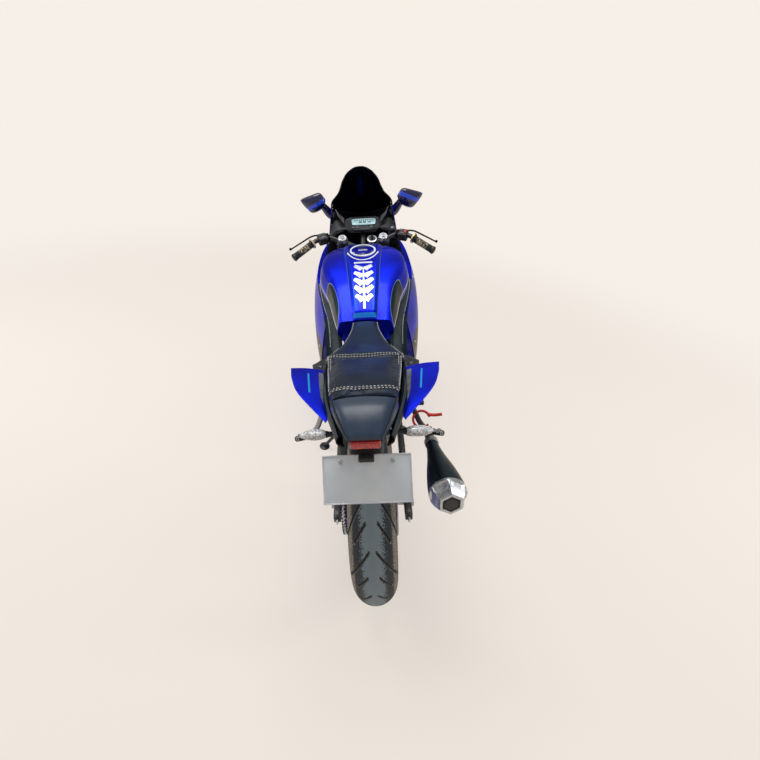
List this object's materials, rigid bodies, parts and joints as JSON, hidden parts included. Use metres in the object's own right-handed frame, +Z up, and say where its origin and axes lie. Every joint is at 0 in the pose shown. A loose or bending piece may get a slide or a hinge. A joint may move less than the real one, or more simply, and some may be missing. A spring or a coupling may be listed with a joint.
{
  "type": "sport bike",
  "caption": "Small fully faired sport bike in blue with a black seat, a tinted windscreen, clip-on bars and a short dark muffler, leaning on its side stand.",
  "frame": {"origin": "middle of the bounding box, on the floor", "axes": "+Y forwards, +Z up, +X to the right of the rider; the bike leans to -X on its stand"},
  "size_m": [0.6954, 1.9274, 1.219],
  "materials": {
    "black_metal": "satin",
    "engine_metal": "satin",
    "dark_plastic": "matte",
    "blue_paint": "gloss",
    "seat_vinyl": "satin",
    "screen": "gloss",
    "lamp_clear": "gloss",
    "lamp_red": "gloss",
    "tyre": "matte",
    "wheel_metal": "gloss",
    "steel": "brushed",
    "grip": "matte",
    "fork_chrome": "polished",
    "caliper": "satin",
    "muffler_black": "satin",
    "muffler_steel": "brushed",
    "plate": "satin"
  },
  "bodies": {
    "root": {"frame": "black_metal", "subframe": "black_metal", "cowl_stay": "black_metal", "engine": "engine_metal", "radiator": "engine_metal", "swingarm": "black_metal", "rear_axle": "black_metal", "chain": "steel", "chain_guard": "dark_plastic", "shock": "steel", "fuel_tank": "blue_paint", "tank_cap": "muffler_steel", "rider_seat": "seat_vinyl", "pillion_seat": "seat_vinyl", "seat_wings": "dark_plastic", "tail_sides": "blue_paint", "tail_wings": "blue_paint", "tail_cover": "dark_plastic", "tail_light": "lamp_red", "rear_fender": "dark_plastic", "number_plate": "plate", "rear_indicators": "lamp_clear", "side_fairings": "blue_paint", "knee_panels": "dark_plastic", "belly_pan": "dark_plastic", "nose_cowl": "blue_paint", "headlamps": "lamp_clear", "windscreen": "screen", "mirrors": "dark_plastic", "dash": "dark_plastic", "cockpit_panels": "dark_plastic", "exhaust_pipe": "muffler_black", "muffler": "muffler_black", "muffler_end": "muffler_steel", "footrests": "black_metal", "foot_controls": "black_metal", "rear_caliper": "caliper"},
    "side_stand": {"side_stand": "black_metal"},
    "steering": {"yokes": "black_metal", "forks": "fork_chrome", "handlebars": "black_metal", "grips": "grip", "bar_controls": "dark_plastic", "front_fender": "blue_paint", "front_axle": "black_metal", "front_caliper": "caliper"},
    "front_wheel": {"front_tyre": "tyre", "front_rim": "wheel_metal", "front_disc": "steel"},
    "rear_wheel": {"rear_tyre": "tyre", "rear_rim": "wheel_metal", "rear_disc": "steel", "rear_sprocket": "steel"}
  },
  "joints": [
    {"name": "steering", "type": "hinge", "parent": "root", "child": "steering", "pos_m": [0.01649, 0.36566, 0.8153], "axis": [-0.1412, -0.4305, 0.8915], "range_deg": [-30, 30]},
    {"name": "front_wheel_spin", "type": "hinge", "parent": "steering", "child": "front_wheel", "pos_m": [0.09924, 0.67115, 0.29285], "axis": [0.9877, 0, 0.1564], "continuous": true},
    {"name": "rear_wheel_spin", "type": "hinge", "parent": "root", "child": "rear_wheel", "pos_m": [0.09643, -0.65385, 0.31063], "axis": [0.9877, 0, 0.1564], "continuous": true},
    {"name": "side_stand_fold", "type": "hinge", "parent": "root", "child": "side_stand", "pos_m": [-0.01124, -0.14885, 0.21055], "axis": [-0.9006, 0.0935, 0.4245], "range_deg": [0, 92]}
  ]
}
